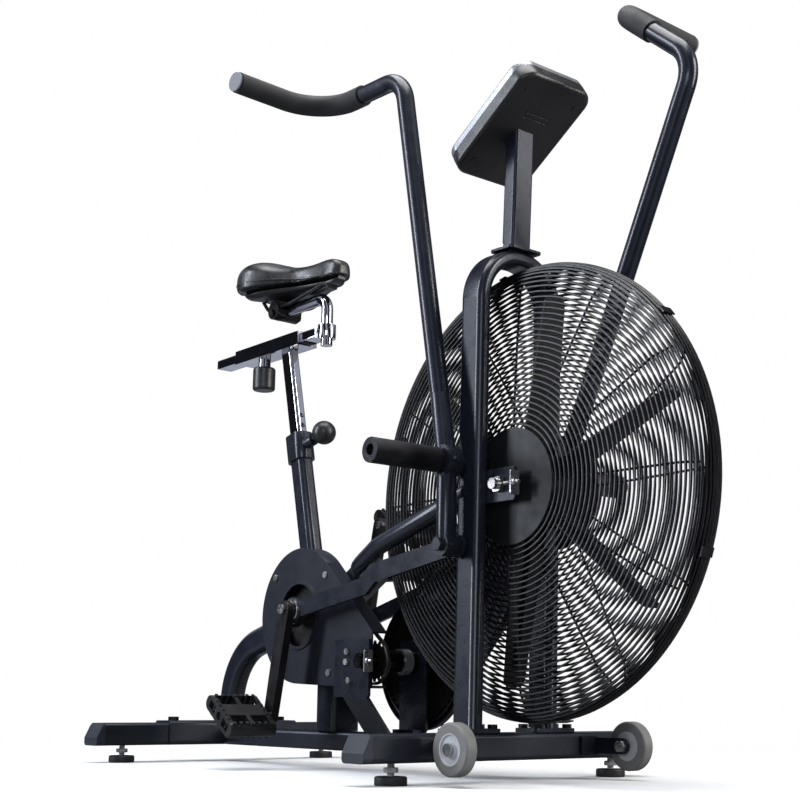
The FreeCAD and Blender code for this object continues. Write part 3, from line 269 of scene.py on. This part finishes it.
HUB_RING = two_tone(
    "hub_and_ring", (0, 0.0115, 0), (0, 1, 0), 0.0085, RING_TINTS, BLACK_TINTS, (0.16, 0.26), 0.03)
HUB_RING.node_tree.nodes["Principled BSDF"].inputs["Metallic"].default_value = 0.9
VINYL = vinyl("saddle_vinyl")

wheel_low, wheel_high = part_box("wheel_right")
WHEEL_CENTRE = [(a + b) / 2 for a, b in zip(wheel_low, wheel_high)]
WHEEL = two_tone(
    "transport_wheel", WHEEL_CENTRE, (1, 0, 1), 0.022, HUB_TINTS, TYRE_TINTS, (0.46, 0.60))
FOOT = two_tone("levelling_foot", (0, 0, 0), (0, 0, 1), 0.0121, RUBBER_TINTS, ZINC_TINTS, (0.4, 0.6))
grip_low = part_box("handle_grip_right")[0]
PLUG_THICKNESS = 0.0055
GRIP = foam("grip_foam", -grip_low[1] - PLUG_THICKNESS)

FINISHES = {
    "rear_stabiliser": STAB_COAT, "front_stabiliser": STAB_COAT, "base_rail": STAB_COAT, "end_caps": CAP,
    "levelling_feet": FOOT, "frame_bolts": BOLT, "centre_post": COAT, "rear_arch": COAT,
    "seat_tube": COAT, "bottom_bracket": COAT, "upper_frame": COAT, "fan_yoke": COAT,
    "pivot_shafts": DARK_STEEL, "foot_pegs": PEG, "axle_brackets": COAT, "cage_right": CAGE,
    "cage_left": CAGE, "cage_discs": SHEET, "cage_clips": CAGE, "chains": CHAIN, "jack_brackets": COAT,
    "chain_cover_right": COVER, "chain_guard_left": COVER, "console_back": PLASTIC,
    "console_front": SILVER, "console_screen": SCREEN, "console_post": COAT,
    "crank_spindle": STEEL, "chainring": DARK_STEEL, "crank_arms": DARK_STEEL, "crank_pins": STEEL,
    "pedal_right": PLASTIC, "pedal_left": PLASTIC, "push_rod_right": COAT, "push_rod_left": COAT,
    "handle_arm_right": COAT, "handle_arm_left": COAT, "handle_tube_right": COAT, "handle_tube_left": COAT,
    "handle_grip_right": GRIP, "handle_grip_left": GRIP, "jack_shaft": HUB_RING, "jack_sprockets": DARK_STEEL,
    "fan_axle": STEEL, "fan_hub": SHEET, "fan_blades": SHEET, "wheel_right": WHEEL, "wheel_left": WHEEL,
    "seat_post": CHROME, "slider_carriage": CHROME, "seat_pull_pin": PLASTIC, "slider_pull_pin": PLASTIC,
    "saddle_slider": CHROME, "saddle_clamp": DARK_STEEL, "saddle_rails": DARK_STEEL,
    "console_button_1": BUTTON, "console_button_2": BUTTON, "console_button_3": BUTTON,
}
SOFT_EDGES = {
    "rear_stabiliser": 1.2, "front_stabiliser": 1.2, "base_rail": 1.2, "end_caps": 2.0, "centre_post": 1.0,
    "upper_frame": 1.0, "fan_yoke": 0.8, "chain_cover_right": 1.5, "push_rod_right": 1.2, "push_rod_left": 1.2,
    "crank_arms": 1.2, "pedal_right": 1.2, "pedal_left": 1.2, "jack_brackets": 0.8, "axle_brackets": 0.8,
    "handle_arm_right": 1.2, "handle_arm_left": 1.2, "slider_carriage": 0.6, "saddle_slider": 0.6,
    "saddle_clamp": 1.0, "foot_pegs": 1.5, "seat_tube": 0.8, "wheel_right": 0.6, "wheel_left": 0.6,
    "frame_bolts": 0.5, "crank_pins": 0.5, "console_back": 0.8, "console_front": 0.8, "levelling_feet": 0.6,
}


SHARP_ANGLE = 38
WELD_REACH = 0.00001


def soften(obj, width_mm):
    """Rounds the sharp edges of a CAD piece for the light to catch."""
    weld = obj.modifiers.new("weld", "WELD")
    weld.merge_threshold = WELD_REACH
    bevel = obj.modifiers.new("bevel", "BEVEL")
    bevel.width = width_mm / 1000
    bevel.segments = 2
    bevel.limit_method = "ANGLE"
    bevel.angle_limit = math.radians(SHARP_ANGLE)
    bevel.harden_normals = False
    bevel.use_clamp_overlap = True


for name, material in FINISHES.items():
    piece = NODES[name]
    piece.data.materials.clear()
    piece.data.materials.append(material)
    if name in SOFT_EDGES:
        soften(piece, SOFT_EDGES[name])


# ---------------------------------------------------------------- pieces made here


def joint_named(name):
    """The frame's own record of a joint."""
    return next(joint for joint in frame["joints"] if joint["name"] == name)


def new_piece(name, mesh, material, body):
    """A finished mesh as an object that rides on a body."""
    piece = bpy.data.objects.new(name, mesh)
    bpy.context.scene.collection.objects.link(piece)
    mesh.materials.clear()
    mesh.materials.append(material)
    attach(piece, body)
    return piece


def smooth(mesh):
    """Shades every face of a mesh smooth."""
    for face in mesh.polygons:
        face.use_smooth = True


def applied(obj):
    """The object's mesh with every modifier on it applied."""
    view = bpy.context.evaluated_depsgraph_get()
    return bpy.data.meshes.new_from_object(obj.evaluated_get(view))


def tube_mesh(name, points, radius, closed=False, sides=10):
    """A round tube through a list of points."""
    path = bmesh.new()
    count = len(points)
    rings = []
    across = None
    for k, point in enumerate(points):
        ahead = points[(k + 1) % count] if closed or k < count - 1 else point
        back = points[k - 1] if closed or k > 0 else point
        heading = (ahead - back).normalized()
        if across is None:
            across = heading.orthogonal().normalized()
        across = (across - heading * across.dot(heading)).normalized()
        other = heading.cross(across)
        ring = []
        for side in range(sides):
            angle = 2 * math.pi * side / sides
            outward = math.cos(angle) * across + math.sin(angle) * other
            ring.append(path.verts.new(point + radius * outward))
        rings.append(ring)
    pairs = list(zip(rings, rings[1:]))
    if closed:
        # The frame may come back turned, so the last ring is matched to its nearest neighbour.
        first, last = rings[0], rings[-1]
        shift = min(range(sides), key=lambda n: (first[n].co - last[0].co).length)
        pairs.append((last, first[shift:] + first[:shift]))
    for low, high in pairs:
        for side in range(sides):
            step = (side + 1) % sides
            path.faces.new((low[side], low[step], high[step], high[side]))
    if not closed:
        path.faces.new(list(reversed(rings[0])))
        path.faces.new(rings[-1])
    bmesh.ops.recalc_face_normals(path, faces=path.faces)
    mesh = bpy.data.meshes.new(name)
    path.to_mesh(mesh)
    path.free()
    smooth(mesh)
    return mesh


def turned_mesh(name, centre, profile, steps=64):
    """A ring turned about a line along Y: profile is a closed loop of (radius, y)."""
    shape = bmesh.new()
    rings = []
    for k in range(steps):
        angle = 2 * math.pi * k / steps
        ring = []
        for radius, y in profile:
            ring.append(shape.verts.new((
                centre[0] + radius * math.cos(angle), y, centre[2] + radius * math.sin(angle))))
        rings.append(ring)
    for k in range(steps):
        here, after = rings[k], rings[(k + 1) % steps]
        for n in range(len(profile)):
            m = (n + 1) % len(profile)
            shape.faces.new((here[n], here[m], after[m], after[n]))
    bmesh.ops.recalc_face_normals(shape, faces=shape.faces)
    mesh = bpy.data.meshes.new(name)
    shape.to_mesh(mesh)
    shape.free()
    return mesh


def block_mesh(name, centre, axes, sizes, round_by):
    """A small moulded block with rounded edges, on its own three axes."""
    shape = bmesh.new()
    bmesh.ops.create_cube(shape, size=1.0)
    for vertex in shape.verts:
        local = vertex.co.copy()
        vertex.co = Vector(centre)
        for axis, size, along in zip(axes, sizes, local):
            vertex.co += Vector(axis) * size * along
    bmesh.ops.bevel(
        shape, geom=list(shape.edges), offset=round_by, segments=3, profile=0.5, affect="EDGES")
    bmesh.ops.recalc_face_normals(shape, faces=shape.faces)
    mesh = bpy.data.meshes.new(name)
    shape.to_mesh(mesh)
    shape.free()
    return mesh


# ---- saddle: a cover blown up over the CAD pad, with a piped hem
PAD_VOXEL = 0.0045
PAD_INSET = 0.0022
PAD_RISE = 0.0060
STATION = 0.008
SKIRT = 0.012
SKIRT_SHARE = 0.6
PAD_FRAMES = 20
UNDERSIDE = -0.55
PAD_PRESSURE = 4.0
PAD_STIFFNESS = 22
PAD_SHEAR = 12
PAD_BENDING = 4


def saddle_cover():
    """The pad inset, its wall drawn down into a skirt, then blown up as cloth and smoothed."""
    source = NODES["saddle_pad"]
    mesh = source.data.copy()
    pad = bpy.data.objects.new("saddle_cover", mesh)
    bpy.context.scene.collection.objects.link(pad)
    remesh = pad.modifiers.new("remesh", "REMESH")
    remesh.mode = "VOXEL"
    remesh.voxel_size = PAD_VOXEL
    pad.data = applied(pad)
    pad.modifiers.clear()
    rest = pad.data
    normals = [vertex.normal.copy() for vertex in rest.vertices]
    held = pad.vertex_groups.new(name="held")
    spans = {}
    for vertex in rest.vertices:
        station = round(vertex.co.x / STATION)
        low, high = spans.get(station, (vertex.co.z, vertex.co.z))
        spans[station] = (min(low, vertex.co.z), max(high, vertex.co.z))
    for vertex, normal in zip(rest.vertices, normals):
        low, high = spans[round(vertex.co.x / STATION)]
        share = (vertex.co.z - low) / max(high - low, STATION)
        if normal.z > UNDERSIDE:
            vertex.co.z -= SKIRT * max(0.0, 1.0 - share / SKIRT_SHARE)
        vertex.co -= normal * PAD_INSET
        if normal.z < UNDERSIDE:
            held.add([vertex.index], 1.0, "REPLACE")
    start = [vertex.co.copy() for vertex in rest.vertices]
    cloth = pad.modifiers.new("cloth", "CLOTH")
    settings = cloth.settings
    settings.quality = 6
    settings.mass = 0.3
    settings.tension_stiffness = PAD_STIFFNESS
    settings.compression_stiffness = PAD_STIFFNESS
    settings.shear_stiffness = PAD_SHEAR
    settings.bending_stiffness = PAD_BENDING
    settings.use_pressure = True
    settings.uniform_pressure_force = PAD_PRESSURE
    settings.vertex_group_mass = "held"
    settings.effector_weights.gravity = 0.0
    cloth.collision_settings.use_collision = False
    cloth.collision_settings.use_self_collision = False
    cloth.point_cache.frame_start = 1
    cloth.point_cache.frame_end = PAD_FRAMES
    scene = bpy.context.scene
    for step in range(1, PAD_FRAMES + 1):
        scene.frame_set(step)
    blown = applied(pad)
    pad.modifiers.clear()
    for vertex, before, after in zip(rest.vertices, start, blown.vertices):
        move = after.co - before
        if move.length > PAD_RISE:
            move *= PAD_RISE / move.length
        vertex.co = before + move
    scene.frame_set(1)
    pad.vertex_groups.clear()
    relax = pad.modifiers.new("relax", "SMOOTH")
    relax.factor = 0.5
    relax.iterations = 6
    fine = pad.modifiers.new("fine", "SUBSURF")
    fine.levels = 1
    fine.render_levels = 1
    pad.data = applied(pad)
    pad.modifiers.clear()
    smooth(pad.data)
    pad.data.materials.clear()
    pad.data.materials.append(VINYL)
    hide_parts("saddle_pad")
    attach(pad, "saddle")
    return pad


def outline_at(mesh, height_share, count):
    """Points round the widest edge of a pad, seen from above, a share of the way up its wall."""
    low = Vector([min(vertex.co[k] for vertex in mesh.vertices) for k in range(3)])
    high = Vector([max(vertex.co[k] for vertex in mesh.vertices) for k in range(3)])
    points = []
    for side in (-1, 1):
        stations = range(count) if side < 0 else range(count - 1, -1, -1)
        for k in stations:
            x = low.x + (high.x - low.x) * (0.5 - 0.5 * math.cos(math.pi * (k + 0.5) / count))
            band = [v.co for v in mesh.vertices if abs(v.co.x - x) < PAD_VOXEL * 1.2 and v.co.y * side >= 0]
            if not band:
                continue
            bottom = min(v.z for v in band)
            top = max(v.z for v in band)
            level = bottom + (top - bottom) * height_share
            near = [v for v in band if abs(v.z - level) < PAD_VOXEL]
            if near:
                points.append(max(near, key=lambda v: v.y * side).copy())
    return points


SHELL_TUCK = 0.84


def saddle_base():
    """The moulded base, drawn in under the cover all round."""
    mesh = NODES["saddle_shell"].data.copy()
    low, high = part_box("saddle_shell")
    middle = (low.x + high.x) / 2
    for vertex in mesh.vertices:
        vertex.co.x = middle + (vertex.co.x - middle) * (1 + SHELL_TUCK) / 2
        vertex.co.y *= SHELL_TUCK
    base = new_piece("saddle_base", mesh, PLASTIC, "saddle")
    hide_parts("saddle_shell")
    return base


HEM_HEIGHT = 0.16
HEM_STATIONS = 26
HEM_SMOOTHINGS = 3
PIPING_RADIUS = 0.0022

cover = saddle_cover()
base = saddle_base()
soften(base, 1.0)
hem = outline_at(cover.data, HEM_HEIGHT, HEM_STATIONS)
for _ in range(HEM_SMOOTHINGS):
    hem = [(hem[k - 1] + hem[k] * 2 + hem[(k + 1) % len(hem)]) / 4 for k in range(len(hem))]
piping = tube_mesh("saddle_piping", hem, PIPING_RADIUS, closed=True)
new_piece("saddle_piping", piping, VINYL, "saddle")

# ---- bearings that show at the eyes of the push rods
BEARING_BORE = 0.0090
BEARING_RADIUS = 0.0195
BEARING_STAND = 0.0032


def rod_bearing(side, rod):
    """A low steel ring on the outer face of one rod's eye."""
    name = "rod_bearing_" + rod
    rod_low, rod_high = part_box("push_rod_" + rod)
    face = rod_low[1] if side < 0 else rod_high[1]
    front = face + side * BEARING_STAND
    profile = [
        (BEARING_BORE, face), (BEARING_BORE, face + side * 0.0026), (BEARING_BORE + 0.0008, front),
        (BEARING_RADIUS - 0.0010, front), (BEARING_RADIUS, face + side * 0.0022), (BEARING_RADIUS, face)]
    eye = joint_named("rod_" + rod + "_turn")["pos_m"]
    new_piece(name, turned_mesh(name, eye, profile), STEEL, "rod_" + rod)


rod_bearing(-1, "right")
rod_bearing(1, "left")

# ---- console back: two ribs across it
case_low, case_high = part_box("console_back")
case_middle = (case_low + case_high) / 2
outward = Vector(joint_named("button_1_press")["axis"]).normalized()
if outward.z > 0:
    outward = -outward
upward = Vector((0, 1, 0)).cross(outward).normalized()
if upward.z < 0:
    upward = -upward
sideways = Vector((0, 1, 0))
console_axes = (upward, sideways, outward)
HALF_CASE = 0.012
case_face = case_middle + outward * HALF_CASE
RIB_RISE = (0.030, 0.039)
RIB_SIZES = (0.003, 0.052, 0.003)
RIB_EDGE = 0.0008
for number, rise in enumerate(RIB_RISE, 1):
    rib_name = "console_rib_" + str(number)
    rib = block_mesh(rib_name, case_face + upward * rise, console_axes, RIB_SIZES, RIB_EDGE)
    new_piece(rib_name, rib, PLASTIC, "frame")

# ---------------------------------------------------------------- camera, light, floor
CAMERA_PLACE = (1.78139, -1.43078, 0.1177)
CAMERA_HEADING = 140.04
CAMERA_PITCH = 10.45
CAMERA_ROLL = 0.55
ROOM_LIGHT = 0.55
BACKDROP_LIGHT = 1.0
FLOOR_SOLID = 0.75
FLOOR_GONE = 1.7
FADE_SPAN = 4.0
FLOOR_HALF = 4
FLOOR_GAP = 0.0006

camera_data = bpy.data.cameras.new("camera")
camera = bpy.data.objects.new("camera", camera_data)
bpy.context.scene.collection.objects.link(camera)
bpy.context.scene.camera = camera
camera_data.sensor_width = 36.0
camera_data.lens = 62.14
camera_data.shift_x = -0.0558
camera_data.shift_y = 0.0558
camera_data.dof.use_dof = False
camera_data.clip_start = 0.05
camera_data.clip_end = 60.0
turn = Matrix.Rotation(math.radians(CAMERA_HEADING - 90), 4, "Z")
tip = Matrix.Rotation(math.radians(90 + CAMERA_PITCH), 4, "X")
roll = Matrix.Rotation(math.radians(CAMERA_ROLL), 4, "Z")
camera.matrix_world = Matrix.Translation(CAMERA_PLACE) @ turn @ tip @ roll


def studio_world():
    """A white backdrop to the eye, and a dimmer room for the gloss to mirror."""
    world = bpy.data.worlds.new("studio")
    bpy.context.scene.world = world
    world.use_nodes = True
    tree = world.node_tree
    room = tree.nodes["Background"]
    place = tree.nodes.new("ShaderNodeTexCoord")
    stripes = tree.nodes.new("ShaderNodeTexWave")
    stripes.wave_type = "BANDS"
    stripes.bands_direction = "DIAGONAL"
    stripes.inputs["Scale"].default_value = 0.55
    stripes.inputs["Distortion"].default_value = 1.5
    stripes.inputs["Detail"].default_value = 1.0
    tree.links.new(place.outputs["Generated"], stripes.inputs["Vector"])
    tone = ramp(tree, stripes.outputs["Fac"], (0.02, 0.022, 0.028, 1), (0.80, 0.86, 1.0, 1), 0.35, 0.95)
    tree.links.new(tone.outputs["Color"], room.inputs["Color"])
    room.inputs["Strength"].default_value = ROOM_LIGHT
    backdrop = tree.nodes.new("ShaderNodeBackground")
    backdrop.inputs["Color"].default_value = (1.0, 1.0, 1.0, 1.0)
    backdrop.inputs["Strength"].default_value = BACKDROP_LIGHT
    rays = tree.nodes.new("ShaderNodeLightPath")
    mix = tree.nodes.new("ShaderNodeMixShader")
    tree.links.new(rays.outputs["Is Camera Ray"], mix.inputs["Fac"])
    tree.links.new(room.outputs["Background"], mix.inputs[1])
    tree.links.new(backdrop.outputs["Background"], mix.inputs[2])
    tree.links.new(mix.outputs["Shader"], tree.nodes["World Output"].inputs["Surface"])


bpy.context.scene.view_settings.view_transform = "Standard"
studio_world()


def softbox(name, place, target, size, power, tint=(1.0, 1.0, 1.0)):
    """A rectangular lamp aimed at a point."""
    light = bpy.data.lights.new(name, "AREA")
    light.shape = "RECTANGLE"
    light.size, light.size_y = size
    light.energy = power
    light.color = tint
    obj = bpy.data.objects.new(name, light)
    bpy.context.scene.collection.objects.link(obj)
    obj.location = place
    obj.rotation_mode = "QUATERNION"
    obj.rotation_quaternion = (Vector(target) - Vector(place)).to_track_quat("-Z", "Y")


COOL = (0.86, 0.91, 1.0)
WARM = (1.0, 0.97, 0.93)
softbox("left_strip", (-1.6, -2.4, 1.6), (0.1, 0, 0.6), (0.5, 2.6), 90.0, COOL)
softbox("right_strip", (2.8, 1.6, 1.7), (0.3, 0, 0.6), (0.6, 2.6), 80.0, WARM)
softbox("front_fill", (2.6, -2.6, 1.2), (0.1, 0, 0.5), (1.4, 1.0), 26.0, COOL)
softbox("overhead", (0.2, -0.2, 3.4), (0.1, 0, 0), (2.6, 2.0), 120.0)


def floor_paint():
    """Pale paint that throws little light back up, and fades into the backdrop before the horizon."""
    material, tree, shader, place = new_material("floor_paint")
    wander = noise(tree, place, 3.0)
    seen = ramp(tree, wander.outputs["Fac"], (0.92, 0.92, 0.93, 1), (0.96, 0.96, 0.96, 1))
    bounced = ramp(tree, wander.outputs["Fac"], grey(0.20), grey(0.24))
    rays = tree.nodes.new("ShaderNodeLightPath")
    mix = tree.nodes.new("ShaderNodeMix")
    mix.data_type = "RGBA"
    tree.links.new(rays.outputs["Is Camera Ray"], mix.inputs["Factor"])
    tree.links.new(bounced.outputs["Color"], mix.inputs["A"])
    tree.links.new(seen.outputs["Color"], mix.inputs["B"])
    tree.links.new(mix.outputs["Result"], shader.inputs["Base Color"])
    shader.inputs["Roughness"].default_value = 0.6
    share = tree.nodes.new("ShaderNodeMath")
    share.operation = "DIVIDE"
    share.inputs[1].default_value = FADE_SPAN
    tree.links.new(measure(tree, place, (0, 0, 0), (1, 1, 0)), share.inputs[0])
    fade = ramp(
        tree, share.outputs["Value"], grey(1.0), grey(0.0), FLOOR_SOLID / FADE_SPAN, FLOOR_GONE / FADE_SPAN)
    tree.links.new(fade.outputs["Color"], shader.inputs["Alpha"])
    return material


floor_corners = [(x * FLOOR_HALF, y * FLOOR_HALF, 0) for x, y in ((-1, -1), (1, -1), (1, 1), (-1, 1))]
floor_mesh = bpy.data.meshes.new("floor")
floor_mesh.from_pydata(floor_corners, [], [(0, 1, 2, 3)])
floor = bpy.data.objects.new("floor", floor_mesh)
bpy.context.scene.collection.objects.link(floor)
floor.location = (0, 0, -FLOOR_GAP)
floor_mesh.materials.append(floor_paint())
